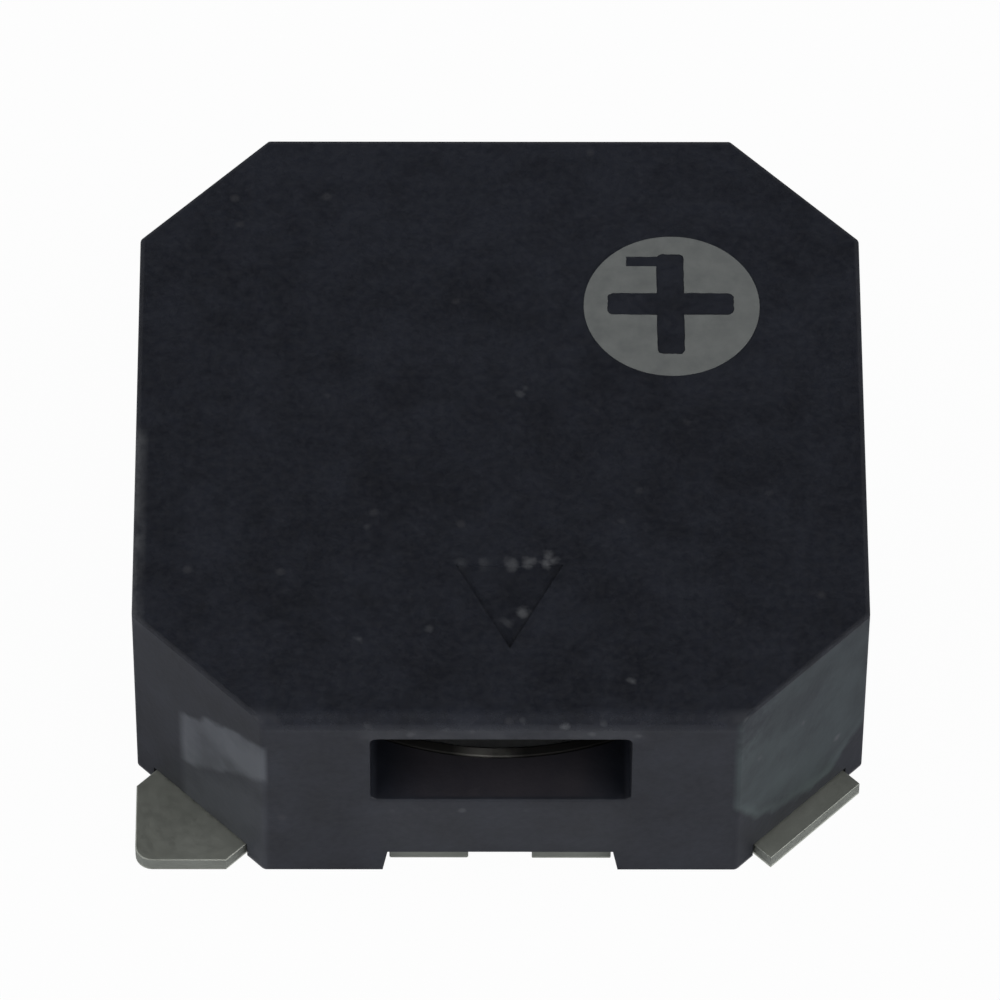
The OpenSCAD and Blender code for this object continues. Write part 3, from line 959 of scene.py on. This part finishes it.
def makeFloor(s):
    letGo()
    bpy.ops.mesh.primitive_plane_add(size=s["size"], location=(0, 0, -s["drop"]))
    floor = bpy.context.object
    floor.name = "floor"
    paper = bpy.data.materials.new("paper")
    paper.use_nodes = True
    tree = paper.node_tree
    tree.nodes.clear()
    out = tree.nodes.new("ShaderNodeOutputMaterial")
    sheet = tree.nodes.new("ShaderNodeBsdfDiffuse")
    sheet.inputs["Color"].default_value = (*s["shade"], 1)
    glow = tree.nodes.new("ShaderNodeEmission")
    glow.inputs["Color"].default_value = (1, 1, 1, 1)
    rays = tree.nodes.new("ShaderNodeLightPath")
    blend = tree.nodes.new("ShaderNodeMixShader")
    tree.links.new(times(tree, rays.outputs["Is Camera Ray"], s["white"]), blend.inputs["Fac"])
    tree.links.new(sheet.outputs["BSDF"], blend.inputs[1])
    tree.links.new(glow.outputs["Emission"], blend.inputs[2])
    clear = tree.nodes.new("ShaderNodeBsdfTransparent")
    side = tree.nodes.new("ShaderNodeNewGeometry")
    close = math1(tree, "LESS_THAN", rays.outputs["Ray Length"], s["thin"])  # right under the part
    oneSided = tree.nodes.new("ShaderNodeMixShader")  # clear from below, so that the underside shows
    tree.links.new(math1(tree, "MAXIMUM", side.outputs["Backfacing"], close), oneSided.inputs["Fac"])
    tree.links.new(blend.outputs["Shader"], oneSided.inputs[1])
    tree.links.new(clear.outputs["BSDF"], oneSided.inputs[2])
    tree.links.new(oneSided.outputs["Shader"], out.inputs["Surface"])
    floor.data.materials.append(paper)


roomLook = {
    "front": 2.0, "back": 0.13, "turnover": (-0.42, 0.33),  # level in front and behind, and where it changes
    "right": 1.6, "left": 0.6, "sideways": (0.2, 0.8), "sideEnd": (0, 0.4),
    "gap": (0.28, 0.52), "gapLevel": 0.14,  # between two soft boxes
}


def makeRoom(s):
    room = bpy.data.worlds.new("room")
    room.use_nodes = True
    tree = room.node_tree
    tree.nodes.clear()
    out = tree.nodes.new("ShaderNodeOutputWorld")
    light = tree.nodes.new("ShaderNodeBackground")
    place = tree.nodes.new("ShaderNodeTexCoord")
    x, y, z = axesOf(tree, place.outputs["Generated"])
    front = spread(tree, y, *s["turnover"], s["front"], s["back"])
    near, far = s["sideways"]
    sides = math1(tree, "ADD", spread(tree, x, near, far, 0, s["right"]),
                  spread(tree, x, -near, -far, 0, s["left"]))
    sides = times(tree, sides, spread(tree, y, *s["sideEnd"], 1, 0))
    gap = spread(tree, math1(tree, "ABSOLUTE", x, 0), *s["gap"], s["gapLevel"], 1)
    level = math1(tree, "ADD", times(tree, front, gap), sides)
    rays = tree.nodes.new("ShaderNodeLightPath")
    tree.links.new(math1(tree, "MAXIMUM", rays.outputs["Is Camera Ray"], level), light.inputs["Strength"])
    tree.links.new(light.outputs["Background"], out.inputs["Surface"])
    scene.world = room


lamps = {
    "leftBack": {"place": (-0.30, 0.20, 0.08), "size": 0.16, "power": 0.3},
}


def makeLamp(name, s):
    letGo()
    bpy.ops.object.light_add(type="AREA", location=s["place"])
    lamp = bpy.context.object
    lamp.name = name
    lamp.data.shape = "DISK"
    lamp.data.size = s["size"]
    lamp.data.energy = s["power"]
    lamp.rotation_euler = (-Vector(s["place"])).to_track_quat("-Z", "Y").to_euler()


eye = {
    "azimuth": -0.55, "elevation": 53.17, "roll": 0.49, "distance": 0.1175,
    "frame": 1000, "pixels": 9968, "aim": (499.7, 500.9),  # frame, focal length and aim in pixels
    "height": 0.0015, "sensor": 36,
}


def makeCamera(s):
    a, e, r = (math.radians(s[key]) for key in ("azimuth", "elevation", "roll"))
    back = Vector((math.sin(a) * math.cos(e), -math.cos(a) * math.cos(e), math.sin(e)))
    flat = Vector((math.cos(a), math.sin(a), 0))
    up = back.cross(flat)
    right = flat * math.cos(r) + up * math.sin(r)
    top = up * math.cos(r) - flat * math.sin(r)
    lens = bpy.data.cameras.new("camera")
    lens.sensor_width = s["sensor"]
    lens.lens = s["sensor"] * s["pixels"] / s["frame"]
    lens.clip_start, lens.clip_end = 0.001, 10
    camera = bpy.data.objects.new("camera", lens)
    scene.collection.objects.link(camera)
    pixel = s["distance"] / s["pixels"]
    aside, above = s["frame"] / 2 - s["aim"][0], s["aim"][1] - s["frame"] / 2
    target = Vector((0, 0, s["height"])) + right * aside * pixel + top * above * pixel
    turn = Matrix((right, top, back)).transposed().to_4x4()
    camera.matrix_world = Matrix.Translation(target + back * s["distance"]) @ turn
    scene.camera = camera


makeFloor(stageLook)
makeRoom(roomLook)
for name, values in lamps.items():
    makeLamp(name, values)
makeCamera(eye)
print("stage set")

bpy.context.view_layer.update()
